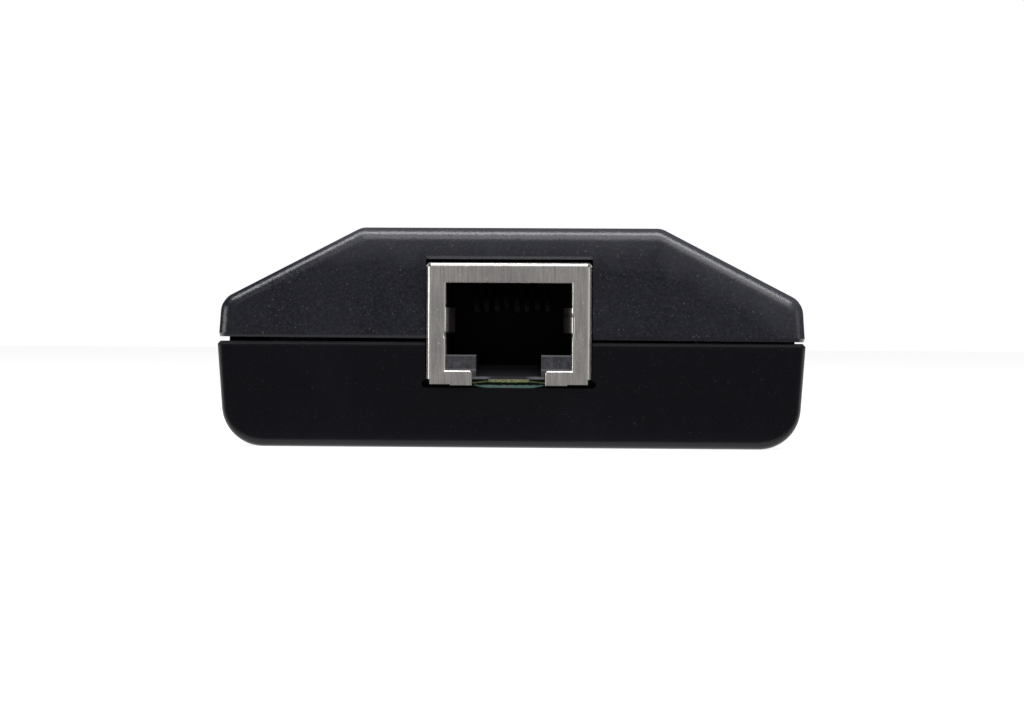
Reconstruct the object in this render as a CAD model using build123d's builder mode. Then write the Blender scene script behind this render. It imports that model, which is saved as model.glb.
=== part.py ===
# Adapter box of a KVM switch: a two-shell moulded case with a shielded network jack in
# front, a circuit board inside and two cable glands at the rear.
# Frame: X to the right, Y to the rear, Z up, origin at the centre of the bottom face.
# All sizes are millimetres.

import os
from math import radians, tan

from build123d import *

os.makedirs("parts", exist_ok=True)

# Case
body_width = 56.63
body_length = 90.0
body_height = 21.25
seam_height = 10.2
shoulder_height = 14.2
plateau_width = 29.0
wall = 2.0
draft = 3.5
shoulder_round = 2.0
plateau_round = 1.7
bottom_round = 4.0
upper_end_round = 1.5
lower_end_round = 0.8
inner_round = 0.5
rim_chamfer = 0.3
rim_bevel_in = 0.12
rim_bevel_up = 0.35
cutout_chamfer = 0.12

# Seam: the upper shell sits a little askew, so its gap is wider on the left
seam_gap_left = 0.41
seam_gap_right = 0.15
lip_depth = 0.8
tongue_height = 1.3
tongue_clearance = 0.1
tongue_front_gap = 0.3

# Screw bosses: square posts, bored for a small self-tapping screw
boss_inset_x = 7.3
boss_inset_y = 8.0
lower_boss_width = 6.6
upper_boss_width = 5.6
boss_rise = 1.55
boss_gap = 0.2
screw_radius = 1.1
screw_clearance = 0.2
screw_head_radius = 2.3
head_clearance = 0.3
counterbore_depth = 3.0
pilot_clearance = 0.03
pilot_depth = 5.0

# Circuit board: the spare height in the case is shared between its two sides
board_thickness = 1.6
board_lift_share = 0.68
board_side_gap = 0.4
board_front_gap = 1.2
board_rear_gap = 3.7
board_corner_round = 1.0
board_tab_width = 7.4
board_tab_setback = 1.1
board_tab_clearance = 0.2
remnant_width = 3.9
remnant_depth = 0.5
remnant_thickness = 0.3
rest_width = 1.4
rest_length = 8.0
rest_inset = 3.2
rest_spread = 0.4
hold_down_length = 5.0
hold_down_gap = 0.1
jack_rib_spacing = 19.0
jack_rib_thickness = 1.2
jack_rib_length = 12.0
back_stop_width = 28.0
back_stop_thickness = 1.2
back_stop_gap = 0.5

# Jack: its heights count from the board's top
jack_x = -0.13
jack_width = 15.85
jack_height = 11.17
jack_depth = 16.0
jack_proud = 0.4
jack_side_gap = 0.1
jack_top_gap = 0.35
jack_bottom_gap = 0.25
corner_relief = 0.35
sheet = 0.25
fold_round = 0.4
edge_roll = 0.2
window_width = 12.1
window_sill = 0.84
window_height = 8.37
foot_drop = 0.5
foot_opening = 7.0
foot_corner_round = 0.3
window_corner_round = 0.25
foot_step_height = 0.1
foot_step_inset = 2.3
shield_notch_width = 0.35
finger_rise = 4.45
finger_height = 2.4
finger_bow = 0.7
finger_length = 5.4
finger_bend = 0.3
finger_root = 0.45
finger_clearance = 0.25
peg_width = 1.5
peg_length = 3.2
peg_setback = 8.0
peg_clearance = 0.15
housing_clearance = 0.03
cavity_width = 12.0
cavity_depth = 12.5
cavity_rise = 9.25
latch_shoulder_rise = 2.32
latch_slot_width = 6.25
floor_front_rise = 0.2
floor_rear_rise = 1.3
ramp_length = 5.0

# Contacts
contact_count = 8
contact_pitch = 1.016
contact_width = 0.45
contact_thickness = 0.3
contact_row_setback = 13.4
contact_row_step = 1.4
contact_rise = 10.1
contact_nose_setback = 4.25
contact_drop = 0.8
contact_free_setback = 10.8
contact_free_rise = 6.7
contact_tail = 1.2
contact_slot_clearance = 0.1
tail_hole_clearance = 0.12
tail_hole_sides = 8

# Cable glands
gland_proud = jack_proud
gland_spacing = 20.0
gland_flange_depth = 0.9
gland_flange_lap = 1.2
gland_block_length = 1.5
gland_clearance = 0.1
video_bore_radius = 3.2
usb_bore_radius = 2.3
gland_wall = 1.1

# Wire headers on the board
video_header_ways = 8
usb_header_ways = 5
header_pitch = 1.5
header_end = 1.75
header_depth = 4.2
header_setback = 8.3
header_height = 4.4
header_floor = 1.0
header_wall = 0.6
header_pin_width = 0.5
header_pin_clearance = 0.06

# Packages on the board: body length, width and height, lead pitch, lead counts across and
# along the body, and for the chip parts their spacing and counts both ways
controller_body = (7.0, 7.0, 1.4)
controller_pitch = 0.8
controller_counts = (8, 8)
driver_body = (6.2, 5.0, 1.5)
driver_pitch = 1.27
driver_counts = (5, 0)
memory_body = (4.9, 3.9, 1.5)
memory_pitch = 1.27
memory_counts = (4, 0)
capacitor_block = (2.0, 1.25, 0.9)
capacitor_spacing = (3.5, 3.0)
capacitor_counts = (3, 2)
resistor_block = (1.6, 0.8, 0.45)
resistor_spacing = (3.0, 2.5)
resistor_counts = (3, 3)
package_standoff = 0.1
package_chamfer = 0.2
lead_thickness = 0.15
lead_knee = 0.45
lead_foot = 0.5
lead_width_share = 0.4
cap_plate = 0.05

# Places of the packages on the board, from its centre
controller_place = (-2.0, -8.0)
driver_offset = 6.0
memory_x = 12.0
crystal_place = (14.0, -8.0)
inductor_place = (-13.0, 11.0)
regulator_place = (-13.0, 18.5)
capacitor_place = (0.0, 8.5)
resistor_place = (1.0, 17.5)

# Derived places
lean = tan(radians(draft))
half_width = body_width / 2
half_length = body_length / 2
overrun = 2 * wall
jack_front = -(half_length + jack_proud)
jack_rear = jack_front + jack_depth
spare_height = body_height - 2 * wall - board_thickness - jack_height
board_bottom = wall + board_lift_share * spare_height
board_top = board_bottom + board_thickness
boss_top = board_top + boss_rise
jack_top = board_top + jack_height
window_bottom = board_top + window_sill
window_top = window_bottom + window_height
foot_bottom = board_top - foot_drop
finger_bottom = board_top + finger_rise
cavity_top = board_top + cavity_rise
latch_shoulder = board_top + latch_shoulder_rise
floor_front_height = board_top + floor_front_rise
floor_rear_height = board_top + floor_rear_rise
contact_roof = board_top + contact_rise
contact_row_y = jack_front + contact_row_setback
contact_nose_y = jack_front + contact_nose_setback
boss_spacing_x = 2 * (half_width - boss_inset_x)
boss_spacing_y = 2 * (half_length - boss_inset_y)
board_front = -(half_length - wall) + board_front_gap
board_rear = half_length - wall - board_rear_gap
board_side = half_width - wall - (seam_height - board_bottom) * lean - board_side_gap
board_tab_reach = half_length - board_tab_setback
header_y = board_rear - header_setback
rest_spacing_x = 2 * (board_side - rest_inset)
rest_spacing_y = rest_spread * body_length
cutout_top = jack_top + jack_top_gap
cutout_bottom = foot_bottom - foot_step_height - jack_bottom_gap
cutout_width = jack_width + 2 * jack_side_gap
seam_slope = (seam_gap_right - seam_gap_left) / body_width
seam_middle = seam_height + (seam_gap_left + seam_gap_right) / 2
rim_plane = Plane(origin=(0, 0, seam_middle), z_dir=(-seam_slope, 0, 1))


# Forms shared by the two shells
def case_form(closed_height, outline, rounds, inset=0.0, end_round=0.0):
    """A bar with the given end outline, set in by inset, whose two ends lean in
    from the seam towards the closed height. rounds holds (height group, radius)."""
    rise = 1 if closed_height > seam_height else -1
    open_height = seam_height - rise * overrun
    seam_end = half_length - inset
    open_end = seam_end + overrun * lean
    closed_end = seam_end - abs(closed_height - seam_height) * lean
    with BuildPart() as bar:
        with BuildSketch(Plane.XZ) as section:
            with BuildLine():
                Polyline(*outline, close=True)
            make_face()
            if inset > 0:
                offset(amount=-inset, kind=Kind.INTERSECTION)
            for group, radius in rounds:
                corners = section.vertices().group_by(Axis.Y)[group]
                fillet(corners, max(radius - inset, inner_round))
        extrude(amount=half_length + overrun, both=True)
        with BuildSketch(Plane.YZ):
            with BuildLine():
                Polyline(
                    (-open_end, open_height),
                    (-closed_end, closed_height),
                    (closed_end, closed_height),
                    (open_end, open_height),
                    close=True,
                )
            make_face()
        extrude(amount=body_width, both=True, mode=Mode.INTERSECT)
        if end_round > 0:
            for end in (bar.faces().sort_by(Axis.Y)[0], bar.faces().sort_by(Axis.Y)[-1]):
                rim = end.edges().sort_by(Axis.Z)[0 if rise > 0 else -1]
                fillet([edge for edge in end.edges() if edge != rim], end_round)
    return bar.part


upper_under = half_width + overrun * lean
upper_shoulder = half_width - (shoulder_height - seam_height) * lean
upper_outline = [
    (-upper_under, seam_height - overrun),
    (-upper_shoulder, shoulder_height),
    (-plateau_width / 2, body_height),
    (plateau_width / 2, body_height),
    (upper_shoulder, shoulder_height),
    (upper_under, seam_height - overrun),
]
upper_rounds = [(-1, plateau_round), (1, shoulder_round)]
lower_over = half_width + overrun * lean
lower_foot = half_width - seam_height * lean
lower_outline = [
    (-lower_over, seam_height + overrun),
    (-lower_foot, 0),
    (lower_foot, 0),
    (lower_over, seam_height + overrun),
]
lower_rounds = [(0, bottom_round)]

upper_form = case_form(body_height, upper_outline, upper_rounds, 0, upper_end_round)
upper_cavity = case_form(body_height, upper_outline, upper_rounds, wall)
rebate_form = case_form(body_height, upper_outline, upper_rounds, lip_depth)
tongue_form = case_form(body_height, upper_outline, upper_rounds, lip_depth + tongue_clearance)
lower_form = case_form(0, lower_outline, lower_rounds, 0, lower_end_round)
lower_cavity = case_form(0, lower_outline, lower_rounds, wall)

# Opening for the jack, cut through both shells, with relieved lower corners
with BuildPart() as jack_cutout:
    with BuildSketch(Plane.XZ.offset(half_length + wall)):
        with Locations((jack_x, cutout_bottom)):
            Rectangle(cutout_width, cutout_top - cutout_bottom, align=(Align.CENTER, Align.MIN))
        with Locations((jack_x, cutout_bottom + corner_relief)):
            with GridLocations(cutout_width, 1, 2, 1):
                Circle(corner_relief)
    extrude(amount=-(2 * wall + overrun))

# Seats for the two glands, cut through both rear walls: a neck hole and a flange recess
gland_places = [
    ("video_gland", gland_spacing / 2, video_bore_radius),
    ("usb_gland", -gland_spacing / 2, usb_bore_radius),
]
gland_outside = half_length + gland_proud
recess_floor = gland_outside - gland_flange_depth
inner_wall_face = half_length - wall - (video_bore_radius + gland_wall + gland_flange_lap) * lean
with BuildPart() as gland_seats:
    for seat_name, seat_x, bore_radius in gland_places:
        neck_radius = bore_radius + gland_wall + gland_clearance
        with BuildSketch(Plane.XZ.offset(-(half_length + wall))):
            with Locations((seat_x, seam_middle)):
                Circle(neck_radius)
        extrude(amount=2 * wall + overrun)
        with BuildSketch(Plane.XZ.offset(-(recess_floor - gland_clearance))):
            with Locations((seat_x, seam_middle)):
                Circle(neck_radius + gland_flange_lap)
        extrude(amount=-wall)

# Upper shell: one moulding, hollow, with a rebate inside its rim for the tongue, four
# screw bosses, four ribs that hold the board down and a wall behind the jack
tongue_end = half_length - wall - tongue_front_gap
rebate_top = Plane.XY.offset(seam_height + seam_gap_left + tongue_height + tongue_clearance)
rebate = split(rebate_form, bisect_by=rebate_top, keep=Keep.BOTTOM)
rebate_front = Plane.XZ.offset(tongue_end + tongue_clearance)
rebate = split(rebate, bisect_by=rebate_front, keep=Keep.BOTTOM)
with BuildPart() as upper_shell:
    add(upper_form)
    split(bisect_by=rim_plane, keep=Keep.TOP)
    rim = upper_shell.faces().sort_by(Axis.Z)[0]
    chamfer(rim.edges(), rim_bevel_in, rim_bevel_up, reference=rim)
    add(upper_cavity, mode=Mode.SUBTRACT)
    add(rebate, mode=Mode.SUBTRACT)
    with BuildSketch(Plane.XY.offset(boss_top + boss_gap)):
        with GridLocations(boss_spacing_x, boss_spacing_y, 2, 2):
            Rectangle(upper_boss_width, upper_boss_width)
    extrude(amount=body_height - boss_top)
    with BuildSketch(Plane.XY.offset(board_top + hold_down_gap)):
        with GridLocations(rest_spacing_x, rest_spacing_y, 2, 2):
            Rectangle(rest_width, hold_down_length)
        with Locations((0, jack_rear + back_stop_gap)):
            Rectangle(back_stop_width, back_stop_thickness, align=(Align.CENTER, Align.MIN))
    extrude(amount=body_height - board_top)
    add(upper_form, mode=Mode.INTERSECT)
    with BuildSketch(Plane.XY.offset(boss_top + boss_gap)):
        with GridLocations(boss_spacing_x, boss_spacing_y, 2, 2):
            Circle(screw_radius + pilot_clearance)
    extrude(amount=pilot_depth, mode=Mode.SUBTRACT)
    add(jack_cutout.part, mode=Mode.SUBTRACT)
    front = upper_shell.faces().filter_by(GeomType.PLANE).sort_by(Axis.Y)[0]
    cutout_edges = [
        edge
        for edge in front.edges()
        if abs(edge.center().X - jack_x) < cutout_width / 2 + wall
        and edge.center().Z < cutout_top + jack_top_gap
    ]
    chamfer(cutout_edges, cutout_chamfer)
    add(gland_seats.part, mode=Mode.SUBTRACT)
upper_shell.part.label = "upper_shell"

# Lower shell: one moulding, hollow, with a tongue on its side and rear rims, four
# counterbored screw bosses, four ribs under the board and two more under the jack
tongue_top = Plane.XY.offset(seam_height + tongue_height)
tongue_root = Plane.XY.offset(seam_height - tongue_clearance)
tongue_block = split(tongue_form, bisect_by=tongue_top, keep=Keep.BOTTOM)
tongue_block = split(tongue_block, bisect_by=tongue_root, keep=Keep.TOP)
tongue_block = split(tongue_block, bisect_by=Plane.XZ.offset(tongue_end), keep=Keep.BOTTOM)
tongue = tongue_block - upper_cavity
with BuildPart() as lower_shell:
    add(lower_form)
    split(bisect_by=Plane.XY.offset(seam_height), keep=Keep.BOTTOM)
    chamfer(lower_shell.faces().sort_by(Axis.Z)[-1].edges(), rim_chamfer)
    add(lower_cavity, mode=Mode.SUBTRACT)
    add(tongue)
    with BuildSketch(Plane.XY.offset(wall / 2)):
        with GridLocations(boss_spacing_x, boss_spacing_y, 2, 2):
            Rectangle(lower_boss_width, lower_boss_width)
    extrude(amount=boss_top - wall / 2)
    with BuildSketch(Plane.XY.offset(wall / 2)):
        with GridLocations(rest_spacing_x, rest_spacing_y, 2, 2):
            Rectangle(rest_width, rest_length)
        with Locations((jack_x, jack_front + jack_depth / 2)):
            with GridLocations(jack_rib_spacing, 1, 2, 1):
                Rectangle(jack_rib_thickness, jack_rib_length)
    extrude(amount=board_bottom - wall / 2)
    with Locations(Plane(origin=(0, 0, 0), x_dir=(1, 0, 0), z_dir=(0, 0, -1))):
        with GridLocations(boss_spacing_x, boss_spacing_y, 2, 2):
            CounterBoreHole(
                screw_radius + screw_clearance,
                screw_head_radius + head_clearance,
                counterbore_depth,
            )
    add(jack_cutout.part, mode=Mode.SUBTRACT)
    add(gland_seats.part, mode=Mode.SUBTRACT)
    with BuildSketch(Plane.XY.offset(board_bottom - board_tab_clearance)):
        with Locations((jack_x, -board_tab_reach - board_tab_clearance)):
            Rectangle(
                board_tab_width + 2 * board_tab_clearance,
                wall + overrun,
                align=(Align.CENTER, Align.MIN),
            )
    extrude(amount=board_thickness + 2 * board_tab_clearance, mode=Mode.SUBTRACT)
lower_shell.part.label = "lower_shell"

# Shield of the jack: one folded sheet with top, sides, rear and a front frame whose two
# feet leave the latch slot open, relieved corners where the folds meet, spring fingers
# turned in from the window's edges and two pegs that go through the board
shield_height = jack_top - board_top
with BuildPart() as jack_shield:
    with BuildSketch(Plane.XY.offset(board_top)):
        with Locations((jack_x, jack_front)):
            Rectangle(jack_width, jack_depth, align=(Align.CENTER, Align.MIN))
    extrude(amount=shield_height)
    fold_edges = jack_shield.edges().filter_by(Axis.Z) + jack_shield.faces().sort_by(Axis.Z)[-1].edges()
    fillet(fold_edges, fold_round)
    with BuildSketch(Plane.XY.offset(board_top)):
        with Locations((jack_x, jack_front + sheet)):
            RectangleRounded(
                jack_width - 2 * sheet,
                jack_depth - 2 * sheet,
                fold_round - sheet,
                align=(Align.CENTER, Align.MIN),
            )
    extrude(amount=shield_height - sheet, mode=Mode.SUBTRACT)
    with BuildSketch(Plane.XY.offset(jack_top)):
        with Locations((jack_x, jack_front + jack_depth / 2)):
            with GridLocations(jack_width - fold_round, jack_depth - fold_round, 2, 2):
                Rectangle(fold_round, fold_round)
    extrude(amount=-fold_round, mode=Mode.SUBTRACT)
    with BuildSketch(Plane.XZ.offset(-jack_front)):
        foot_width = (jack_width - foot_opening) / 2
        step_width = foot_width - foot_step_inset
        for side in (-1, 1):
            foot_x = jack_x + side * (foot_opening / 2)
            foot_align = Align.MIN if side > 0 else Align.MAX
            with Locations((foot_x, foot_bottom)):
                Rectangle(
                    foot_width - shield_notch_width,
                    window_bottom - foot_bottom,
                    align=(foot_align, Align.MIN),
                )
            with Locations((foot_x, foot_bottom - foot_step_height)):
                Rectangle(step_width, window_bottom - foot_bottom, align=(foot_align, Align.MIN))
    extrude(amount=-sheet)
    with BuildSketch(Plane.XZ.offset(-jack_front + sheet)) as window:
        with Locations((jack_x, window_bottom)):
            Rectangle(window_width, window_top - window_bottom, align=(Align.CENTER, Align.MIN))
        with Locations((jack_x, 0)):
            Rectangle(foot_opening, window_bottom, align=(Align.CENTER, Align.MIN))
        sill_corners = window.vertices().group_by(Axis.Y)[1].sort_by(Axis.X)
        fillet(sill_corners[1:3], foot_corner_round)
        fillet([sill_corners[0], sill_corners[-1]], window_corner_round)
    extrude(amount=-3 * sheet, mode=Mode.SUBTRACT)
    frame_edges = jack_shield.faces().sort_by(Axis.Y)[0].edges()
    window_edges = [
        edge
        for edge in frame_edges
        if abs(edge.center().X - jack_x) < (window_width + sheet) / 2
        and foot_bottom + foot_step_height < edge.center().Z < window_top + sheet
    ]
    fillet(window_edges, edge_roll)
    with BuildSketch(Plane.XY.offset(finger_bottom)):
        with Locations((jack_x, jack_front)):
            Rectangle(window_width + 2 * finger_root, sheet, align=(Align.CENTER, Align.MIN))
    extrude(amount=finger_height, mode=Mode.SUBTRACT)
    with BuildSketch(Plane.XY.offset(finger_bottom)):
        for side in (-1, 1):
            root_x = window_width / 2 + finger_root + sheet
            edge_x = window_width / 2 + sheet / 2
            bow_x = window_width / 2 - finger_bow
            with BuildLine():
                FilletPolyline(
                    (jack_x + side * root_x, jack_front + sheet / 2),
                    (jack_x + side * edge_x, jack_front + sheet / 2),
                    (jack_x + side * bow_x, jack_front + finger_length / 3),
                    (jack_x + side * edge_x, jack_front + finger_length),
                    radius=finger_bend,
                )
            trace(line_width=sheet)
    extrude(amount=finger_height)
    with BuildSketch(Plane.XY.offset(board_bottom - peg_length + board_thickness)):
        with Locations((jack_x, jack_front + peg_setback)):
            with GridLocations(jack_width - sheet, 1, 2, 1):
                Rectangle(sheet, peg_width)
    extrude(amount=peg_length)
jack_shield.part.label = "jack_shield"

# Housing of the jack: a moulded insert with the plug cavity, two latch shoulders, a ramp
# in the latch slot, side pockets for the spring fingers and a comb for the contacts
housing_width = jack_width - 2 * (sheet + housing_clearance)
housing_front = jack_front + sheet + housing_clearance
housing_rear = jack_rear - sheet - housing_clearance
housing_top = jack_top - sheet - housing_clearance
contact_places = [
    jack_x + (index - (contact_count - 1) / 2) * contact_pitch for index in range(contact_count)
]
contact_slot = contact_width + 2 * contact_slot_clearance
slot_top = contact_roof + contact_thickness / 2 + contact_slot_clearance
with BuildPart() as jack_housing:
    with BuildSketch(Plane.XY.offset(board_top)):
        with Locations((jack_x, housing_front)):
            RectangleRounded(
                housing_width,
                housing_rear - housing_front,
                fold_round - sheet,
                align=(Align.CENTER, Align.MIN),
            )
    extrude(amount=housing_top - board_top)
    with BuildSketch(Plane.XZ.offset(-housing_front)):
        with Locations((jack_x, latch_shoulder)):
            Rectangle(cavity_width, cavity_top - latch_shoulder, align=(Align.CENTER, Align.MIN))
    extrude(amount=-cavity_depth, mode=Mode.SUBTRACT)
    with BuildSketch(Plane.YZ.offset(jack_x)):
        with BuildLine():
            Polyline(
                (housing_front, floor_front_height),
                (housing_front + ramp_length, floor_rear_height),
                (housing_front + cavity_depth, floor_rear_height),
                (housing_front + cavity_depth, cavity_top),
                (housing_front, cavity_top),
                close=True,
            )
        make_face()
    extrude(amount=latch_slot_width / 2, both=True, mode=Mode.SUBTRACT)
    with BuildSketch(Plane.XY.offset(finger_bottom - finger_clearance)):
        with Locations((jack_x, housing_front)):
            Rectangle(
                window_width + 2 * (sheet + finger_clearance),
                finger_length + finger_clearance,
                align=(Align.CENTER, Align.MIN),
            )
    extrude(amount=finger_height + 2 * finger_clearance, mode=Mode.SUBTRACT)
    for index, place_x in enumerate(contact_places):
        row_y = contact_row_y + (index % 2) * contact_row_step
        slot_start = row_y - contact_thickness / 2 - contact_slot_clearance
        with BuildSketch(Plane.YZ.offset(place_x)):
            with BuildLine():
                Polyline(
                    (slot_start, board_top),
                    (slot_start, cavity_top - housing_clearance),
                    (contact_nose_y - contact_slot_clearance, cavity_top - housing_clearance),
                    (contact_nose_y - contact_slot_clearance, slot_top),
                    (housing_rear, slot_top),
                    (housing_rear, board_top),
                    close=True,
                )
            make_face()
        extrude(amount=contact_slot / 2, both=True, mode=Mode.SUBTRACT)
jack_housing.part.label = "jack_housing"

# Contacts: eight plated ribbons, each up through the board, forward along the roof and
# turned back down towards the plug
nose_y = contact_nose_y + contact_thickness / 2
nose_turn = contact_drop / 2
contacts = []
for index, place_x in enumerate(contact_places):
    row_y = contact_row_y + (index % 2) * contact_row_step
    with BuildPart() as contact:
        with BuildSketch(Plane.YZ.offset(place_x)):
            with BuildLine():
                Polyline(
                    (row_y, board_bottom - contact_tail),
                    (row_y, contact_roof),
                    (nose_y + nose_turn, contact_roof),
                    (nose_y, contact_roof - nose_turn),
                    (nose_y + nose_turn, contact_roof - contact_drop),
                    (jack_front + contact_free_setback, board_top + contact_free_rise),
                )
            trace(line_width=contact_thickness)
        extrude(amount=contact_width / 2, both=True)
    contact.part.label = f"jack_contact_{index + 1}"
    contacts.append(contact.part)

# Glands: a moulded ring with an outer flange, a neck in the wall and a square inner block
# that keeps it from turning
glands = []
for gland_name, gland_x, bore_radius in gland_places:
    neck_radius = bore_radius + gland_wall
    with BuildPart() as gland:
        with BuildSketch(Plane.XZ.offset(-gland_outside)):
            with Locations((gland_x, seam_middle)):
                Circle(neck_radius + gland_flange_lap - gland_clearance)
        extrude(amount=gland_flange_depth)
        outer_rim = gland.faces().sort_by(Axis.Y)[-1].edges()
        chamfer(outer_rim, gland_proud)
        with BuildSketch(Plane.XZ.offset(-gland_outside + gland_flange_depth)):
            with Locations((gland_x, seam_middle)):
                Circle(neck_radius)
        extrude(amount=recess_floor - inner_wall_face + gland_clearance)
        block_width = 2 * (neck_radius + gland_flange_lap)
        with BuildSketch(Plane.XZ.offset(-inner_wall_face + gland_clearance)):
            with Locations((gland_x, seam_middle)):
                Rectangle(block_width, block_width)
        extrude(amount=gland_block_length)
        with BuildSketch(Plane.XZ.offset(-gland_outside)):
            with Locations((gland_x, seam_middle)):
                Circle(bore_radius)
        extrude(amount=wall + overrun, mode=Mode.SUBTRACT)
    gland.part.label = gland_name
    glands.append(gland.part)

# Circuit board: glass-fibre laminate with its corners cut away round the screw bosses, a
# front tab with the torn stub of its panel bridge, and holes for the jack's pegs and tails
corner_x = (boss_spacing_x - lower_boss_width) / 2 - board_side_gap
corner_y = (boss_spacing_y - lower_boss_width) / 2 - board_side_gap
header_places = [
    ("video_header", gland_spacing / 2, video_header_ways),
    ("usb_header", -gland_spacing / 2, usb_header_ways),
]
with BuildPart() as circuit_board:
    with BuildSketch(Plane.XY.offset(board_bottom)):
        with Locations((0, board_front)):
            Rectangle(2 * corner_x, board_rear - board_front, align=(Align.CENTER, Align.MIN))
        Rectangle(2 * board_side, 2 * corner_y)
        with Locations((jack_x, -board_tab_reach)):
            Rectangle(board_tab_width, wall + overrun, align=(Align.CENTER, Align.MIN))
    extrude(amount=board_thickness)
    upright = circuit_board.edges().filter_by(Axis.Z)
    fillet(upright.group_by(SortBy.DISTANCE)[-1], board_corner_round)
    with BuildSketch(Plane.XY.offset(board_top - remnant_thickness)):
        with Locations((jack_x, -board_tab_reach)):
            Rectangle(remnant_width, remnant_depth, align=(Align.CENTER, Align.MAX))
    extrude(amount=remnant_thickness)
    with BuildSketch(Plane.XY.offset(board_bottom)):
        for index, place_x in enumerate(contact_places):
            with Locations((place_x, contact_row_y + (index % 2) * contact_row_step)):
                RegularPolygon(contact_width / 2 + tail_hole_clearance, tail_hole_sides)
        with Locations((jack_x, jack_front + peg_setback)):
            with GridLocations(jack_width - sheet, 1, 2, 1):
                Rectangle(sheet + 2 * peg_clearance, peg_width + 2 * peg_clearance)
    extrude(amount=board_thickness, mode=Mode.SUBTRACT)
circuit_board.part.label = "circuit_board"

# Wire headers: an open-topped moulding with a latch window, and its row of pins
headers = []
for header_name, header_x, ways in header_places:
    header_length = (ways - 1) * header_pitch + 2 * header_end
    with BuildPart() as header:
        with BuildSketch(Plane.XY.offset(board_top)):
            with Locations((header_x, header_y)):
                Rectangle(header_length, header_depth)
        extrude(amount=header_height)
        with BuildSketch(Plane.XY.offset(board_top + header_floor)):
            with Locations((header_x, header_y)):
                Rectangle(header_length - 2 * header_wall, header_depth - 2 * header_wall)
        extrude(amount=header_height, mode=Mode.SUBTRACT)
        with BuildSketch(Plane.XY.offset(board_top + header_height)):
            with Locations((header_x, header_y + header_depth / 2)):
                with GridLocations(header_length / 2, 1, 2, 1):
                    Rectangle(header_wall, 2 * header_wall, align=(Align.CENTER, Align.CENTER))
        extrude(amount=-header_height / 2, mode=Mode.SUBTRACT)
        with BuildSketch(Plane.XY.offset(board_top)):
            with Locations((header_x, header_y)):
                with GridLocations(header_pitch, 1, ways, 1):
                    pin_hole = header_pin_width + header_pin_clearance
                    Rectangle(pin_hole, pin_hole)
        extrude(amount=header_floor, mode=Mode.SUBTRACT)
    header.part.label = header_name
    headers.append(header.part)
    with BuildPart() as header_pins:
        with BuildSketch(Plane.XY.offset(board_top)):
            with Locations((header_x, header_y)):
                with GridLocations(header_pitch, 1, ways, 1):
                    Rectangle(header_pin_width, header_pin_width)
        extrude(amount=header_height - header_wall)
    header_pins.part.label = f"{header_name}_pins"
    headers.append(header_pins.part)


# Packages with gull-wing leads: the body sits a stand-off above the board
def lead_package(label, place, body_size, lead_pitch, lead_counts):
    """A moulded package with a row of formed leads on two or four sides."""
    length_x, length_y, height = body_size
    count_across, count_along = lead_counts
    lead_top = board_top + package_standoff + height / 2
    foot_line = board_top + lead_thickness / 2
    gap_width = lead_pitch * (1 - lead_width_share)
    with BuildPart() as package:
        for count, span, turn in [(count_across, length_y, 0), (count_along, length_x, 90)]:
            if count == 0:
                continue
            frame = Plane((*place, 0)).rotated((0, 0, turn))
            for side in (-1, 1):
                row = Plane(origin=frame.origin, x_dir=side * frame.y_dir, z_dir=frame.x_dir)
                with BuildSketch(row) as lead_side:
                    with BuildLine():
                        Polyline(
                            (span / 2 - lead_thickness, side * lead_top),
                            (span / 2 + lead_knee, side * foot_line),
                            (span / 2 + lead_knee + lead_foot, side * foot_line),
                        )
                    trace(line_width=lead_thickness)
                extrude(amount=(count - 1 + lead_width_share) * lead_pitch / 2, both=True)
            with BuildSketch(frame.offset(board_top)):
                with GridLocations(lead_pitch, 1, count - 1, 1):
                    Rectangle(gap_width, span + 2 * (lead_knee + 2 * lead_foot))
            extrude(amount=height, mode=Mode.SUBTRACT)
        with BuildSketch(Plane.XY.offset(board_top + package_standoff)):
            with Locations(place):
                Rectangle(length_x, length_y)
        extrude(amount=height)
        chamfer(package.faces().sort_by(Axis.Z)[-1].edges(), package_chamfer)
    package.part.label = label
    return package.part


driver_y = jack_rear + driver_offset
packages = [
    lead_package(
        "controller_chip", controller_place, controller_body, controller_pitch, controller_counts
    ),
    lead_package("line_driver_chip", (0, driver_y), driver_body, driver_pitch, driver_counts),
    lead_package("memory_chip", (memory_x, driver_y), memory_body, memory_pitch, memory_counts),
]

# Crystal: a drawn can on a flanged base
crystal_size = (11.0, 4.7)
crystal_height = 3.4
crystal_flange = 0.4
with BuildPart() as crystal:
    with BuildSketch(Plane.XY.offset(board_top)):
        with Locations(crystal_place):
            SlotOverall(*crystal_size, rotation=90)
    extrude(amount=crystal_flange)
    with BuildSketch(Plane.XY.offset(board_top)):
        with Locations(crystal_place):
            SlotOverall(*[size - 2 * crystal_flange for size in crystal_size], rotation=90)
    extrude(amount=crystal_height)
crystal.part.label = "crystal"

# Voltage regulator: a moulded body with three leads in front and a heat tab behind
regulator_body = (6.5, 3.5, 1.6)
regulator_pitch = 2.3
regulator_lead = (0.7, 1.75, 0.3)
regulator_tab_width = 3.0
with BuildPart() as voltage_regulator:
    with BuildSketch(Plane.XY.offset(board_top + package_standoff)):
        with Locations(regulator_place):
            Rectangle(regulator_body[0], regulator_body[1])
    extrude(amount=regulator_body[2])
    chamfer(voltage_regulator.faces().sort_by(Axis.Z)[-1].edges(), package_chamfer)
    with BuildSketch(Plane.XY.offset(board_top)):
        with Locations((regulator_place[0], regulator_place[1] - regulator_body[1] / 2)):
            with GridLocations(regulator_pitch, 1, 3, 1):
                Rectangle(regulator_lead[0], 2 * regulator_lead[1])
        with Locations((regulator_place[0], regulator_place[1] + regulator_body[1] / 2)):
            Rectangle(regulator_tab_width, 2 * regulator_lead[1])
    extrude(amount=regulator_lead[2])
voltage_regulator.part.label = "voltage_regulator"

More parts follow.
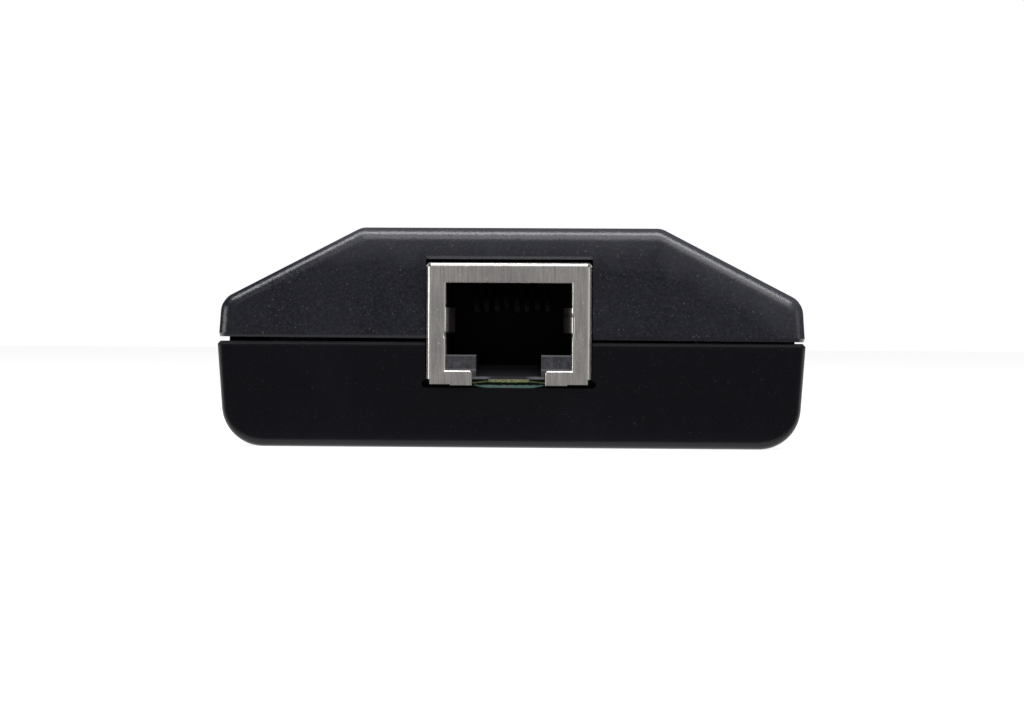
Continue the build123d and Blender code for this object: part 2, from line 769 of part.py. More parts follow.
# Power inductor: a drum core in a square ferrite ring
inductor_width = 7.0
inductor_height = 3.2
drum_radius = 2.9
drum_gap = 0.25
drum_step = 0.4
with BuildPart() as power_inductor:
    with BuildSketch(Plane.XY.offset(board_top)):
        with Locations(inductor_place):
            Rectangle(inductor_width, inductor_width)
    extrude(amount=inductor_height)
    with BuildSketch(Plane.XY.offset(board_top + inductor_height)):
        with Locations(inductor_place):
            Circle(drum_radius + drum_gap)
            Circle(drum_radius, mode=Mode.SUBTRACT)
    extrude(amount=-inductor_height / 2, mode=Mode.SUBTRACT)
    with BuildSketch(Plane.XY.offset(board_top + inductor_height)):
        with Locations(inductor_place):
            Circle(drum_radius)
    extrude(amount=-drum_step, mode=Mode.SUBTRACT)
power_inductor.part.label = "power_inductor"


# Chip parts: small blocks with a wrapped metal cap at each end
def chip_group(label, place, block, spacing, counts):
    """Identical chip parts in a grid about place, as a group of separate solids."""
    length, width, height = block
    grid = (*spacing, *counts)
    with BuildPart() as group:
        with BuildSketch(Plane.XY.offset(board_top)):
            with Locations(place):
                with GridLocations(*grid):
                    Rectangle(length, width)
        extrude(amount=height)
        with BuildSketch(Plane.XY.offset(board_top)):
            with Locations(place):
                with GridLocations(*grid):
                    with GridLocations(length * 3 / 4, 1, 2, 1):
                        Rectangle(length / 4 + cap_plate, width + 2 * cap_plate)
        extrude(amount=height + cap_plate)
    group.part.label = label
    return group.part


chips = [
    chip_group(
        "chip_capacitors", capacitor_place, capacitor_block, capacitor_spacing, capacitor_counts
    ),
    chip_group(
        "chip_resistors", resistor_place, resistor_block, resistor_spacing, resistor_counts
    ),
]

for piece in (
    [upper_shell.part, lower_shell.part, jack_shield.part, jack_housing.part, circuit_board.part]
    + contacts
    + glands
    + headers
    + packages
    + [crystal.part, voltage_regulator.part, power_inductor.part]
    + chips
):
    export_step(piece, f"parts/{piece.label}.step")
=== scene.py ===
# Adapter box of a KVM switch: black moulded case, shielded network jack, two cable glands.
# Metres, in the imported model's frame: X to the right, Y to the rear, Z up.

import math

import bmesh
import bpy
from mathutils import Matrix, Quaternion, Vector


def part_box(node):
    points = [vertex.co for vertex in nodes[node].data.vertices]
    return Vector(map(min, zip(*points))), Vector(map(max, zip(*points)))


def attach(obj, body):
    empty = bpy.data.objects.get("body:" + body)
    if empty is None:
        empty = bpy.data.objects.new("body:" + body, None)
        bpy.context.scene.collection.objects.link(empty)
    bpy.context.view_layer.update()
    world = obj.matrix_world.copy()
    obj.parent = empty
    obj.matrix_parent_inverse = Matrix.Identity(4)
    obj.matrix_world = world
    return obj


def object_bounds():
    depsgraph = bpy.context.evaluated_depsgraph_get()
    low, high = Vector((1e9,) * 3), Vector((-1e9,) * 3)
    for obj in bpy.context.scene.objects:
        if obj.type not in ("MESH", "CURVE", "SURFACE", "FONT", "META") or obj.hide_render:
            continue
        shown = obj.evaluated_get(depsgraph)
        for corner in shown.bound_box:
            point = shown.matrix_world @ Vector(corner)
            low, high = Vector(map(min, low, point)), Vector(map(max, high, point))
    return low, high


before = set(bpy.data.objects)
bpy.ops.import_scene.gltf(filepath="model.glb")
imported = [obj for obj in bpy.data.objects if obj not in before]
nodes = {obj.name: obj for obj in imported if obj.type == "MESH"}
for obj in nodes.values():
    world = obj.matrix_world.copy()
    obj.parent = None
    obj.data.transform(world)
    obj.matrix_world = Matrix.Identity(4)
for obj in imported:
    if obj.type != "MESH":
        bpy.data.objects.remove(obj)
cad_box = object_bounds()

# Camera: the photograph is a straight front view from about 200 mm, a little to the right
# of the centre line and level with the seam, held with a slight roll.
photo_width = 1024
pixels_per_metre = 10457
lens_distance = 0.200
eye_right = 0.00640
eye_height = 0.0102
aim_right = 0.00020
aim_height = 0.00864
camera_roll = math.radians(0.34)
jack_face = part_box("jack_shield")[0].y
camera_data = bpy.data.cameras.new("photo_camera")
camera_data.lens = pixels_per_metre * lens_distance / photo_width * camera_data.sensor_width
camera_data.clip_start = 0.01
camera = bpy.data.objects.new("photo_camera", camera_data)
bpy.context.scene.collection.objects.link(camera)
eye = Vector((eye_right, jack_face - lens_distance, eye_height))
aim = Vector((aim_right, jack_face, aim_height))
camera.rotation_mode = "QUATERNION"
camera.location = eye
towards_jack = (aim - eye).to_track_quat("-Z", "Y")
camera.rotation_quaternion = towards_jack @ Quaternion((0, 0, 1), camera_roll)
bpy.context.scene.camera = camera


# Shader maths: a wire wraps a socket, so that an expression on wires adds its nodes.
class Wire:
    """A shader socket; arithmetic on wires adds Math nodes to their tree."""

    def __init__(self, tree, socket=None):
        self.tree = tree
        self.socket = socket

    def node(self, kind, settings=None, inputs=None, output=0):
        """Adds a node, with its settings first and then its sockets' values or wires."""
        made = self.tree.nodes.new("ShaderNode" + kind)
        for name, value in (settings or {}).items():
            if name == "stops":
                ramp = made.color_ramp
                while len(ramp.elements) < len(value):
                    ramp.elements.new(0.5)
                for element, (position, level) in zip(ramp.elements, value):
                    element.position = position
                    element.color = (level, level, level, 1)
            else:
                setattr(made, name, value)
        for name, value in (inputs or {}).items():
            if isinstance(value, Wire):
                self.tree.links.new(value.socket, made.inputs[name])
            else:
                made.inputs[name].default_value = value
        return Wire(self.tree, made.outputs[output] if made.outputs else None)

    def math(self, operation, left, right=0.0):
        return self.node("Math", {"operation": operation}, {0: left, 1: right})

    def __add__(self, other):
        return self.math("ADD", self, other)

    def __radd__(self, other):
        return self.math("ADD", other, self)

    def __sub__(self, other):
        return self.math("SUBTRACT", self, other)

    def __rsub__(self, other):
        return self.math("SUBTRACT", other, self)

    def __mul__(self, other):
        return self.math("MULTIPLY", self, other)

    def __rmul__(self, other):
        return self.math("MULTIPLY", other, self)

    def size(self):
        """The value without its sign."""
        return self.math("ABSOLUTE", self)

    def lowest(self, other):
        """The smaller of two values."""
        return self.math("MINIMUM", self, other)

    def highest(self, other):
        """The larger of two values."""
        return self.math("MAXIMUM", self, other)

    def ramp(self, *stops):
        """A smooth step between levels at the given positions."""
        return self.node("ValToRGB", {"stops": stops}, {"Fac": self})

    def mix(self, first, second):
        """The first colour where this wire is 0 and the second where it is 1."""
        sockets = {0: self, 6: first, 7: second}
        return self.node("Mix", {"data_type": "RGBA"}, sockets, output=2)


def place(tree_wire, stretch=(1, 1, 1)):
    """Object coordinates, stretched along each axis for a grain."""
    spot = tree_wire.node("TexCoord", output=3)
    return tree_wire.node("Mapping", {}, {"Vector": spot, "Scale": stretch})


def axis(spot, index):
    """One coordinate of a place: 0 for X, 1 for Y and 2 for Z."""
    return spot.node("SeparateXYZ", {}, {"Vector": spot}, output=index)


def band(value, low, high, soft):
    """1 between low and high and 0 outside, with edges that are soft wide."""
    upwards = {"Value": value, "From Min": low - soft, "From Max": low + soft}
    downwards = {"Value": value, "From Min": high + soft, "From Max": high - soft}
    return value.node("MapRange", {}, upwards) * value.node("MapRange", {}, downwards)


def noise(spot, size, detail=2.0, roughness=0.5):
    """Cloudy noise whose blotches measure about size metres."""
    inputs = {"Vector": spot, "Scale": 1 / size, "Detail": detail, "Roughness": roughness}
    return spot.node("TexNoise", {}, inputs)


def finish_material(name, base, roughness, bump, constants, metallic=None):
    """A Principled material whose base, roughness, bump and metallic are functions."""
    material = bpy.data.materials.new(name)
    material.use_nodes = True
    tree = material.node_tree
    tree.nodes.clear()
    start = Wire(tree)
    sockets = dict(constants)
    sockets["Base Color"] = base(start)
    sockets["Roughness"] = roughness(start)
    if metallic:
        sockets["Metallic"] = metallic(start)
    if bump:
        height, depth = bump(start)
        sockets["Normal"] = start.node("Bump", {}, {"Height": height, "Distance": depth})
    shader = start.node("BsdfPrincipled", {}, sockets)
    start.node("OutputMaterial", {}, {"Surface": shader})
    return material


def dress(material, *names):
    """Gives CAD nodes one material in place of their plain one."""
    for name in names:
        nodes[name].data.materials.clear()
        nodes[name].data.materials.append(material)


# Upper shell: black ABS moulded in a spark-eroded cavity, so that it has a fine grain with
# small bright peaks. A painted sheen lightens the front below its top edge and right slope, and
# painted highlight lines run along the jack opening's upper rim and the left of the seam. It lies
# on the lower shell's rim, screwed from below.
upper_low, upper_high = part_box("upper_shell")
plateau_half = 0.0145
slope_lean = math.radians(27.5)
sheen_width = 0.0042
front_depth = 0.002
shield_low, shield_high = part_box("jack_shield")
shield_middle = (shield_low.x + shield_high.x) / 2
shield_half = (shield_high.x - shield_low.x) / 2
opening_top = shield_high.z + 0.00035
opening_rim = 0.00028
seam_edge = 0.01058
seam_rim = 0.00022


def upper_base(start):
    spot = place(start)
    from_top = upper_high.z - axis(spot, 2)
    past_plateau = axis(spot, 0).size() - plateau_half
    from_slope = from_top * math.cos(slope_lean) - past_plateau * math.sin(slope_lean)
    right_half = band(axis(spot, 0), 0.0, 1.0, 0.004)
    near_edge = from_top + right_half * (from_top.lowest(from_slope) - from_top)
    near_edge = near_edge + (noise(spot, 0.003, 3.0) - 0.5) * 0.003
    front = band(axis(spot, 1), -1.0, upper_low.y + front_depth, 0.0005)
    # Painted sheen: the front is painted lighter below its top edge and along the right slope,
    # where highlights glow.
    painted_sheen = (1 - near_edge * (1 / sheen_width)) * front
    grain = noise(spot, 0.00030, 3.0, 0.65).ramp((0.40, 0), (0.66, 1))
    speck = noise(spot, 0.00017, 1.0).ramp((0.70, 0), (0.76, 1))
    cloud = noise(spot, 0.006, 4.0, 0.6).ramp((0.35, 0), (0.65, 1))
    plain = cloud.mix((0.0066, 0.0070, 0.0120, 1), (0.0114, 0.0118, 0.0180, 1))
    grained = (grain * 0.5).mix(plain, (0.027, 0.028, 0.037, 1))
    with_painted_sheen = (painted_sheen.ramp((0, 0), (1, 1)) * 0.52).mix(grained, (0.078, 0.079, 0.092, 1))
    # Painted highlight lines along the jack opening's upper rim and at the left of the seam.
    rim = band(axis(spot, 2), opening_top, opening_top + opening_rim, 0.00006) * front
    rim = rim * band(axis(spot, 0) - shield_middle, -shield_half, shield_half, 0.0002)
    left_seam_highlight = band(axis(spot, 2), seam_edge, seam_edge + seam_rim, 0.0001)
    left_seam_highlight = left_seam_highlight * (1 - right_half) * front
    with_painted_highlights = (rim * 0.7 + left_seam_highlight * 0.5).mix(with_painted_sheen, (0.085, 0.085, 0.095, 1))
    return (speck * 0.6).mix(with_painted_highlights, (0.140, 0.142, 0.160, 1))


def upper_rough(start):
    return 0.17 + 0.16 * noise(place(start), 0.0006, 3.0)


def upper_bump(start):
    spot = place(start)
    return noise(spot, 0.00026, 3.0, 0.6), 0.000024


upper_finish = finish_material(
    "upper_shell_grain", upper_base, upper_rough, upper_bump, {"IOR": 1.5}
)
dress(upper_finish, "upper_shell")


# Lower shell: the same black plastic from a smoother cavity, with faint handling marks and a
# few light specks of dust. Its rim along the seam is duller, and so is the tongue above it.
rim_start = 0.0098


def lower_base(start):
    spot = place(start)
    grain = noise(spot, 0.00018, 2.0).ramp((0.5, 0), (0.85, 1))
    marks = noise(place(start, (1, 1, 0.3)), 0.006, 4.0, 0.65).ramp((0.5, 0), (0.75, 1))
    plain = marks.mix((0.0022, 0.0019, 0.0048, 1), (0.0042, 0.0038, 0.0076, 1))
    grained = (grain * 0.5).mix(plain, (0.0130, 0.0127, 0.0170, 1))
    speck = noise(spot, 0.00022, 1.0).ramp((0.745, 0), (0.79, 1))
    return (speck * 0.6).mix(grained, (0.060, 0.060, 0.066, 1))


def lower_rough(start):
    spot = place(start)
    rim = band(axis(spot, 2), rim_start, 1.0, 0.0001)
    return 0.25 + 0.12 * noise(spot, 0.002, 3.0) + 0.5 * rim


def lower_bump(start):
    return noise(place(start), 0.00018, 2.0), 0.000012


lower_constants = {"IOR": 1.5, "Specular IOR Level": 0.27}
lower_finish = finish_material(
    "lower_shell_satin", lower_base, lower_rough, lower_bump, lower_constants
)
dress(lower_finish, "lower_shell")


# Shield of the jack: cold-rolled sheet with a satin nickel plate, rolled before it was
# folded, so that its grain runs up and down and its folds and the roots of its side springs
# shine through bump and roughness. Its outer folds and window edges also carry a painted
# highlight, and the plate behind the front frame is painted dark brown as shade. Folded round
# the housing and pegged to the board.
frame_depth = 0.0006
fold_reach = 0.0006
roll_reach = 0.0004
window_half = 0.00605
window_low = 0.0073
window_high = 0.0159
root_low = 0.0108
root_high = 0.0128
left_root_low = 0.0107
left_root_high = 0.0111
shield_grain_depth = 0.000008


def shield_edge_highlight(spot):
    """1 on the outer side edges and the window's edges, where a highlight is painted into the
    colour.
    """
    across = (axis(spot, 0) - shield_middle).size()
    outer = (across - (shield_half - fold_reach)) * (1 / fold_reach)
    inner = ((window_half + roll_reach) - across) * (1 / roll_reach)
    inner = inner * band(across, window_half - 0.0001, 1.0, 0.00003) * 0.6
    inner = inner * band(axis(spot, 2), window_low, window_high, 0.0001)
    return outer.highest(inner).highest(0.0).lowest(1.0)


def shield_base(start):
    spot = place(start)
    grain = noise(place(start, (1, 1, 0.04)), 0.00012, 3.0).ramp((0.3, 0), (0.7, 1))
    cloud = noise(spot, 0.003, 2.0).ramp((0.3, 0), (0.7, 1))
    speck = noise(place(start, (1, 1, 0.5)), 0.00015, 1.0).ramp((0.66, 0), (0.76, 1))
    plain = cloud.mix((0.64, 0.61, 0.595, 1), (0.84, 0.80, 0.765, 1))
    grained = (grain * 0.75).mix(plain, (0.44, 0.415, 0.405, 1))
    face = (speck * 0.75).mix(grained, (1.0, 0.95, 0.88, 1))
    # The outer folds and window edges are painted lighter: a painted highlight.
    with_painted_highlights = shield_edge_highlight(spot).mix(face, (1.0, 0.97, 0.90, 1))
    # Behind the front frame the plate is painted dark brown: painted shade inside the jack.
    inside = band(axis(spot, 1), shield_low.y + frame_depth, 1.0, 0.0002)
    return (inside * 0.75).mix(with_painted_highlights, (0.12, 0.095, 0.075, 1))


def shield_rough(start):
    spot = place(start)
    grain = noise(place(start, (1, 1, 0.05)), 0.0002)
    folded = band(axis(spot, 1), shield_low.y + 0.00003, shield_low.y + frame_depth, 0.00002)
    return 0.30 + 0.14 * grain - 0.16 * folded


def shield_bump(start):
    spot = place(start)
    grain = noise(place(start, (1, 1, 0.04)), 0.00014, 3.0)
    side = axis(spot, 0) - shield_middle
    across = side.size()
    fold = (across - (shield_half - fold_reach)).highest(0.0)
    rolled = ((window_half + roll_reach) - across).highest(0.0).lowest(roll_reach * 0.85)
    height = axis(spot, 2)
    left_root = band(side, -1.0, 0.0, 0.001) * band(height, left_root_low, left_root_high, 0.0001)
    right_root = band(side, 0.0, 1.0, 0.001) * band(height, root_low, root_high, 0.0002)
    root = left_root + right_root
    drop = fold * fold * (0.3 / fold_reach) + rolled * rolled * root * (0.5 / roll_reach)
    return grain - drop * (1 / shield_grain_depth), shield_grain_depth


def shield_metal(start):
    inside = band(axis(place(start), 1), shield_low.y + frame_depth, 1.0, 0.0002)
    return 0.86 + 0.14 * inside


shield_finish = finish_material(
    "shield_nickel", shield_base, shield_rough, shield_bump, {}, shield_metal
)
dress(shield_finish, "jack_shield")


# Housing of the jack: black glass-filled plastic, moulded in one piece and pushed into the
# shield from below. The front of its mouth is painted a lit grey with painted highlight lines on
# its edges, less so in the latch dip; deeper in it is black, with the latch slope painted a little
# lighter as lit.
housing_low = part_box("jack_housing")[0]
housing_front = housing_low.y
mouth_depth = 0.0003
brink_width = 0.00014
shoulder_top = housing_low.z + 0.00232
sill_top = housing_low.z + 0.00084
lip_bottom = housing_low.z + 0.00008
slope_top = housing_low.z + 0.0016
slope_depth = 0.005
dip_half = 0.0019


def housing_base(start):
    spot = place(start)
    grain = noise(spot, 0.0002, 3.0).ramp((0.4, 0), (0.8, 1))
    moulded_black = (grain * 0.6).mix((0.006, 0.006, 0.008, 1), (0.012, 0.012, 0.014, 1))
    # The mouth's front is painted a mottled lit grey: painted light where light reaches it.
    lit_mottle = noise(place(start, (1, 1, 0.5)), 0.00025, 3.0, 0.7).ramp((0.35, 0), (0.7, 1))
    painted_lit_grey = lit_mottle.mix((0.032, 0.032, 0.038, 1), (0.085, 0.083, 0.092, 1))
    height = axis(spot, 2)
    dip = band(axis(spot, 0) - shield_middle, -dip_half, dip_half, 0.0003)
    dip = dip * band(height, -1.0, sill_top - 0.0001, 0.0001)
    behind = axis(spot, 1) - housing_front
    mouth = band(behind, -1.0, mouth_depth, 0.0001) * (1 - dip * 0.8)
    # Painted highlight lines along the shoulder top, the sill and the lower lip.
    brink = band(height, shoulder_top - brink_width, shoulder_top + 0.001, 0.00003)
    brink = brink.highest(band(height, sill_top - 0.00004, sill_top + brink_width, 0.00003))
    brink = brink.highest(band(height, -1.0, lip_bottom + 0.00012, 0.00003))
    with_edge_highlight = brink.mix(painted_lit_grey, (0.125, 0.125, 0.140, 1))
    slope = band(behind, 0.0, slope_depth, 0.0003) * band(height, -1.0, slope_top, 0.0002)
    deep = (slope * 0.07).mix(moulded_black, painted_lit_grey)
    return mouth.mix(deep, with_edge_highlight)


def housing_rough(start):
    return 0.45 + 0.15 * noise(place(start), 0.0005)


def housing_bump(start):
    return noise(place(start), 0.0002, 3.0), 0.00002


housing_constants = {"IOR": 1.5, "Specular IOR Level": 0.1}
housing_finish = finish_material(
    "jack_housing_black", housing_base, housing_rough, housing_bump, housing_constants
)
dress(housing_finish, "jack_housing")


# Plated small metal: contacts with thin gold over bronze, painted nearly black above their
# free ends as shade, header pins and the crystal's can in tin, and black zinc for the case
# screws below.
def plated(name, tone, dark_tone, roughness):
    """A metal finish with small stains, the same on every plated piece."""

    def base(start):
        stain = noise(place(start), 0.0012, 3.0).ramp((0.4, 0), (0.75, 1))
        return stain.mix((*tone, 1), (*dark_tone, 1))

    def rough(start):
        return roughness + 0.15 * noise(place(start), 0.0006)

    def bump(start):
        return noise(place(start), 0.0002, 2.0), 0.000004

    return finish_material(name, base, rough, bump, {"Metallic": 1.0})


shade_start = 0.0136
shade_end = 0.0148


def contact_base(start):
    spot = place(start)
    stain = noise(spot, 0.0006, 3.0).ramp((0.4, 0), (0.75, 1))
    height = axis(spot, 2)
    # Above the lower height limit the contacts fade to nearly black: painted shade under the
    # shield's top edge.
    limits = {"Value": height, "From Min": shade_start, "From Max": shade_end}
    painted_shade = height.node("MapRange", {}, limits)
    gold = stain.mix((0.80, 0.74, 0.62, 1), (0.32, 0.30, 0.26, 1))
    return painted_shade.mix(gold, (0.03, 0.028, 0.025, 1))


def contact_rough(start):
    return 0.45 + 0.15 * noise(place(start), 0.0006)


def contact_bump(start):
    return noise(place(start), 0.0002, 2.0), 0.000004


contact_finish = finish_material(
    "contact_gold", contact_base, contact_rough, contact_bump, {"Metallic": 1.0}
)
dress(contact_finish, *[f"jack_contact_{index}" for index in range(1, 9)])
tin_finish = plated("tin_plate", (0.62, 0.62, 0.60), (0.45, 0.45, 0.44), 0.3)
dress(tin_finish, "crystal", "video_header_pins", "usb_header_pins")
screw_finish = plated("screw_black_zinc", (0.050, 0.050, 0.055), (0.025, 0.025, 0.028), 0.3)


# Circuit board: glass-fibre laminate under a green solder mask. Its front tab was parted from
# the next board along a groove: a torn yellow stub stands in the groove, slanting painted
# highlight lines mark the lit edges of the score beside it, and a flat teal lens of painted
# reflected light lies under it. It lies on the lower shell's ribs.
board_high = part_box("circuit_board")[1]
stub_middle = -0.00013
stub_half = 0.00195
tab_front = -0.0435
lens_top = board_high.z - 0.00060
lens_depth = 0.00044
lens_half = 0.0034
stub_rise = 0.00030
score_rise = 0.00022
score_lean = 0.11
score_half = 0.00006


def lit_lens_share(spot):
    """1 on the flat lens under the stub, where reflected light is painted."""
    across = axis(spot, 0) - stub_middle
    height = axis(spot, 2)
    wander = (noise(spot, 0.0004, 2.0) - 0.5) * 0.00015
    reach = across * across * (1 / (lens_half * lens_half))
    below = band(height + lens_depth * (1 - reach) - lens_top, 0.0, 1.0, 0.00005)
    above = band(height + wander, -1.0, lens_top, 0.00004)
    return below * above * band(axis(spot, 1), -1.0, tab_front, 0.0001)


def board_base(start):
    spot = place(start)
    across = axis(spot, 0) - stub_middle
    height = axis(spot, 2)
    front = band(axis(spot, 1), -1.0, tab_front, 0.0001)
    fibre = noise(place(start, (1, 1, 3)), 0.0003, 3.0).ramp((0.35, 0), (0.7, 1))
    laminate = fibre.mix((0.30, 0.31, 0.15, 1), (0.82, 0.85, 0.47, 1))
    track = noise(spot, 0.003, 1.0).ramp((0.49, 0), (0.51, 1))
    mask = track.mix((0.006, 0.045, 0.020, 1), (0.010, 0.075, 0.034, 1))
    wander = (noise(spot, 0.0004, 2.0) - 0.5) * 0.0003
    stub = band(height + wander, board_high.z - stub_rise, 1.0, 0.00004)
    stub = stub * band(across, -stub_half, stub_half, 0.00008)
    beside = across.size() - stub_half
    score_line = height + beside * score_lean - (board_high.z - score_rise)
    # Slanting lines in laminate colour beside the stub: painted highlights for the lit edges of the
    # score.
    lit_score_edges = band(score_line, -score_half, score_half, 0.00003) * band(beside, 0.0, 1.0, 0.0001)
    # The lens's bright teal is painted reflected light.
    shine = noise(place(start, (1, 1, 0.3)), 0.0003, 2.0).ramp((0.3, 0), (0.7, 1))
    painted_lens_light = shine.mix((0.42, 1.0, 0.90, 1), (0.85, 1.0, 1.0, 1))
    groove = lit_lens_share(spot).mix((0.001, 0.030, 0.008, 1), painted_lens_light)
    scored = (lit_score_edges * 0.7).mix(groove, laminate)
    face = stub.mix(scored, laminate)
    return front.mix(mask, face)


def board_rough(start):
    return 0.3 + 0.2 * noise(place(start), 0.001)


def board_metal(start):
    return lit_lens_share(place(start)) * 0.9


def board_bump(start):
    return noise(place(start), 0.0003, 3.0), 0.00002


board_constants = {"IOR": 1.5, "Specular IOR Level": 0.15}
board_finish = finish_material(
    "board_laminate", board_base, board_rough, board_bump, board_constants, board_metal
)
dress(board_finish, "circuit_board")


# Parts on the board: moulded black packages, ceramic chips, the ferrite of the inductor and
# the off-white headers. All are soldered to the board.
def moulded(name, tone, light_tone, roughness, grain_size):
    """A dull moulded or fired finish with a fine grain."""

    def base(start):
        grain = noise(place(start), grain_size, 3.0).ramp((0.4, 0), (0.75, 1))
        return grain.mix((*tone, 1), (*light_tone, 1))

    def rough(start):
        return roughness + 0.15 * noise(place(start), grain_size * 4)

    def bump(start):
        return noise(place(start), grain_size, 2.0), grain_size / 15

    return finish_material(name, base, rough, bump, {"IOR": 1.5})


package_finish = moulded("package_black", (0.018, 0.018, 0.019), (0.030, 0.030, 0.031), 0.5, 0.0002)
dress(package_finish, "controller_chip", "line_driver_chip", "memory_chip", "voltage_regulator")
capacitor_finish = moulded("capacitor_ceramic", (0.38, 0.26, 0.15), (0.45, 0.33, 0.20), 0.5, 0.0002)
dress(capacitor_finish, "chip_capacitors")
resistor_finish = moulded("resistor_glaze", (0.02, 0.02, 0.022), (0.04, 0.04, 0.044), 0.25, 0.0002)
dress(resistor_finish, "chip_resistors")
ferrite_finish = moulded("inductor_ferrite", (0.06, 0.06, 0.062), (0.09, 0.09, 0.092), 0.55, 0.0002)
dress(ferrite_finish, "power_inductor")
header_finish = moulded("header_nylon", (0.74, 0.71, 0.62), (0.80, 0.77, 0.69), 0.45, 0.0003)
dress(header_finish, "video_header", "usb_header")


# Cable glands: black flexible plastic rings, moulded with a matt skin and trapped between
# the shells at the rear.
gland_finish = moulded("gland_black", (0.014, 0.014, 0.015), (0.022, 0.022, 0.023), 0.55, 0.00025)
dress(gland_finish, "video_gland", "usb_gland")


# Case screws: four pan heads with a cross recess, deep in the counterbores underneath, whose
# shanks run up into the upper shell's bosses.
screw_inset_x = 0.0073
screw_inset_y = 0.0080
half_width = 0.028315
half_length = 0.045
head_radius = 0.0023
head_bottom = 0.0013
head_seat = 0.00298
shank_radius = 0.00110
shank_top = 0.0116
recess_radius = 0.0013
recess_arm = 0.0003
recess_floor = 0.0021
ring_segments = 48


def screw_mesh():
    """A pan head on a shank about the Z axis, with a cross recess let into the head."""
    mesh = bmesh.new()
    profile = [
        (recess_radius + recess_arm, head_bottom),
        (head_radius * 0.72, head_bottom),
        (head_radius * 0.93, head_bottom + 0.0003),
        (head_radius, head_bottom + 0.0008),
        (head_radius, head_seat),
        (shank_radius, head_seat),
        (shank_radius, shank_top - 0.0006),
        (shank_radius * 0.35, shank_top),
    ]
    rings = []
    for radius, height in profile:
        ring = []
        for step in range(ring_segments):
            turn = 2 * math.pi * step / ring_segments
            ring.append(mesh.verts.new((radius * math.cos(turn), radius * math.sin(turn), height)))
        rings.append(ring)
    for inner, outer in zip(rings, rings[1:]):
        for step in range(ring_segments):
            following = (step + 1) % ring_segments
            mesh.faces.new((inner[step], inner[following], outer[following], outer[step]))
    mesh.faces.new(rings[-1])
    arm = recess_arm
    reach = recess_radius
    cross = [
        (arm, arm), (arm, reach), (-arm, reach), (-arm, arm), (-reach, arm), (-reach, -arm),
        (-arm, -arm), (-arm, -reach), (arm, -reach), (arm, -arm), (reach, -arm), (reach, arm),
    ]
    rim = [mesh.verts.new((x, y, head_bottom)) for x, y in cross]
    floor = [mesh.verts.new((x * 0.7, y * 0.7, recess_floor)) for x, y in cross]
    count = len(cross)
    rim_edges = [mesh.edges.new((rim[step], rim[(step + 1) % count])) for step in range(count)]
    for step in range(count):
        following = (step + 1) % count
        mesh.faces.new((rim[step], rim[following], floor[following], floor[step]))
    mesh.faces.new(floor)
    outer_edges = [edge for edge in mesh.edges if all(vert in rings[0] for vert in edge.verts)]
    bmesh.ops.triangle_fill(mesh, edges=rim_edges + outer_edges, use_beauty=True)
    bmesh.ops.recalc_face_normals(mesh, faces=mesh.faces)
    return mesh


for side, side_name in ((-1, "left"), (1, "right")):
    for end, end_name in ((-1, "front"), (1, "rear")):
        screw = screw_mesh()
        middle = (side * (half_width - screw_inset_x), end * (half_length - screw_inset_y), 0)
        bmesh.ops.translate(screw, verts=screw.verts, vec=middle)
        screw_name = f"case_screw_{side_name}_{end_name}"
        screw_data = bpy.data.meshes.new(screw_name)
        screw.to_mesh(screw_data)
        screw.free()
        screw_data.set_sharp_from_angle(angle=math.radians(35))
        screw_data.materials.append(screw_finish)
        screw_piece = bpy.data.objects.new(screw_name, screw_data)
        bpy.context.scene.collection.objects.link(screw_piece)
        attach(screw_piece, "root")


# Floor: a white light table, lit from within for the camera. In gloss it is greyer, except where
# it glows under the object. It keeps a soft share of the shadow and is clear from below.
floor_half = 3.0
floor_drop = 0.00005
floor_mesh = bmesh.new()
bmesh.ops.create_grid(floor_mesh, x_segments=1, y_segments=1, size=floor_half)
floor_data = bpy.data.meshes.new("studio_floor")
floor_mesh.to_mesh(floor_data)
floor_mesh.free()
studio_floor = bpy.data.objects.new("studio_floor", floor_data)
studio_floor.location.z = -floor_drop
bpy.context.scene.collection.objects.link(studio_floor)
floor_material = bpy.data.materials.new("studio_floor")
floor_material.use_nodes = True
floor_tree = floor_material.node_tree
floor_tree.nodes.clear()
floor_start = Wire(floor_tree)
shadow_share = 0.35
floor_glow = 1.4
seen = floor_start.node("LightPath", output="Is Camera Ray")
glossy = floor_start.node("LightPath", output="Is Glossy Ray")
floor_tone = 0.45 + seen * 0.35 - glossy * 0.29
lamp_white = floor_start.node("BsdfDiffuse", {}, {"Color": floor_tone})
glow = floor_glow + glossy * 0.2
clean_white = floor_start.node("Emission", {}, {"Color": (1, 1, 1, 1), "Strength": glow})
through = floor_start.node("LightPath", output="Is Transmission Ray")
floor_spot = place(floor_start)
table_reach = 0.001
front_end = cad_box[0].y - table_reach
rear_end = cad_box[1].y + table_reach
under = band(axis(floor_spot, 1), front_end, rear_end, table_reach)
share = (seen + through) * (1 - shadow_share) + glossy * under
table_top = floor_start.node("MixShader", {}, {0: share, 1: lamp_white, 2: clean_white})
clear = floor_start.node("BsdfTransparent", {}, {})
from_below = floor_start.node("NewGeometry", output="Backfacing")
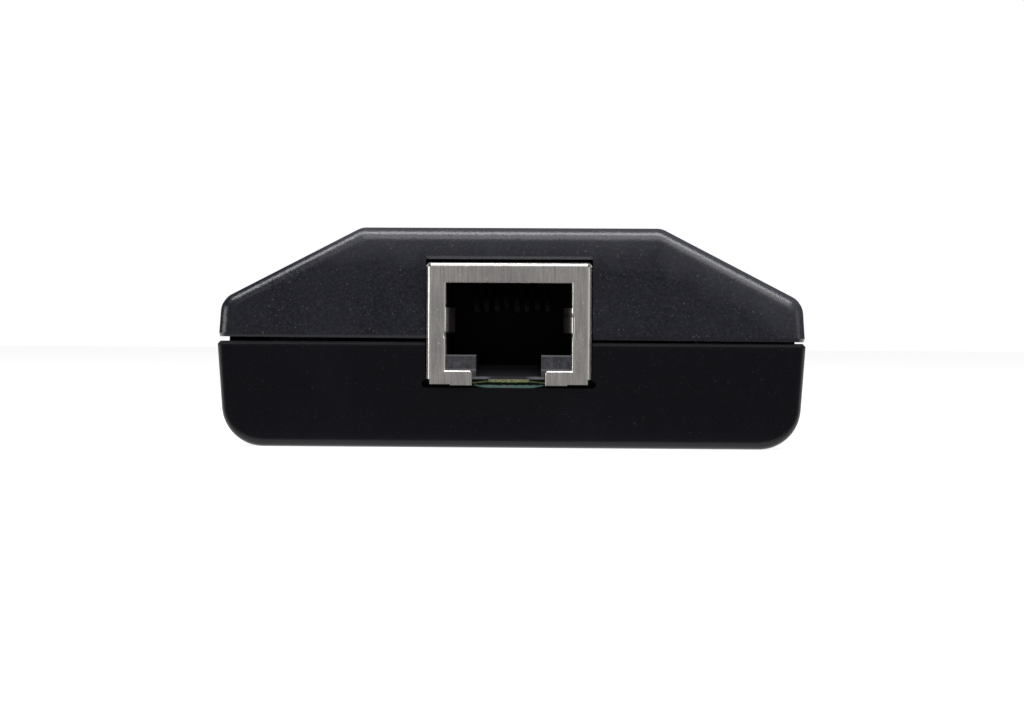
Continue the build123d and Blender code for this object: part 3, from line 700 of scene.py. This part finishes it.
floor_shader = floor_start.node("MixShader", {}, {0: from_below, 1: table_top, 2: clear})
floor_start.node("OutputMaterial", {}, {"Surface": floor_shader})
floor_data.materials.append(floor_material)


# Studio: a wide soft lamp above the front and a lower one before it, weaker ones on the left
# and the right, and a room that is dim behind the object for gloss and white for the camera.
def soft_lamp(name, where, target, width, length, radiance):
    """An area lamp of the given radiance, aimed at the target, unseen by the camera."""
    data = bpy.data.lights.new(name, "AREA")
    data.shape = "RECTANGLE"
    data.size = width
    data.size_y = length
    data.energy = radiance * math.pi * width * length
    lamp = bpy.data.objects.new(name, data)
    bpy.context.scene.collection.objects.link(lamp)
    lamp.visible_camera = False
    lamp.location = where
    lamp.rotation_mode = "QUATERNION"
    lamp.rotation_quaternion = (Vector(target) - Vector(where)).to_track_quat("-Z", "Y")


body_middle = (cad_box[0] + cad_box[1]) / 2
soft_lamp("overhead_lamp", (-0.02, -0.145, 0.50), body_middle, 0.80, 0.18, 7.8)
soft_lamp("front_lamp", (0.08, -0.38, 0.37), body_middle, 0.50, 0.25, 2.4)
soft_lamp("left_lamp", (-0.50, -0.11, 0.06), body_middle, 0.24, 0.24, 3.2)
soft_lamp("right_lamp", (0.50, -0.20, 0.06), body_middle, 0.24, 0.24, 1.0)

world = bpy.data.worlds.new("studio_room")
world.use_nodes = True
world.node_tree.nodes.clear()
bpy.context.scene.world = world
room = Wire(world.node_tree)
facing = room.node("TexCoord", output="Generated")
depth = room.node("SeparateXYZ", {}, {"Vector": facing}, output=1)
behind = (depth * 0.5 + 0.5).ramp((0.15, 0.13), (0.6, 0.05))
seen = room.node("LightPath", output="Is Camera Ray")
through = room.node("LightPath", output="Is Transmission Ray")
glossy = room.node("LightPath", output="Is Glossy Ray")
ambient = 0.15
level = (seen + through) + glossy * behind + (1 - seen - through - glossy) * ambient
backdrop = room.node("Background", {}, {"Color": (1, 1, 1, 1), "Strength": level})
room.node("OutputWorld", {}, {"Surface": backdrop})

bpy.context.scene.view_settings.view_transform = "Standard"
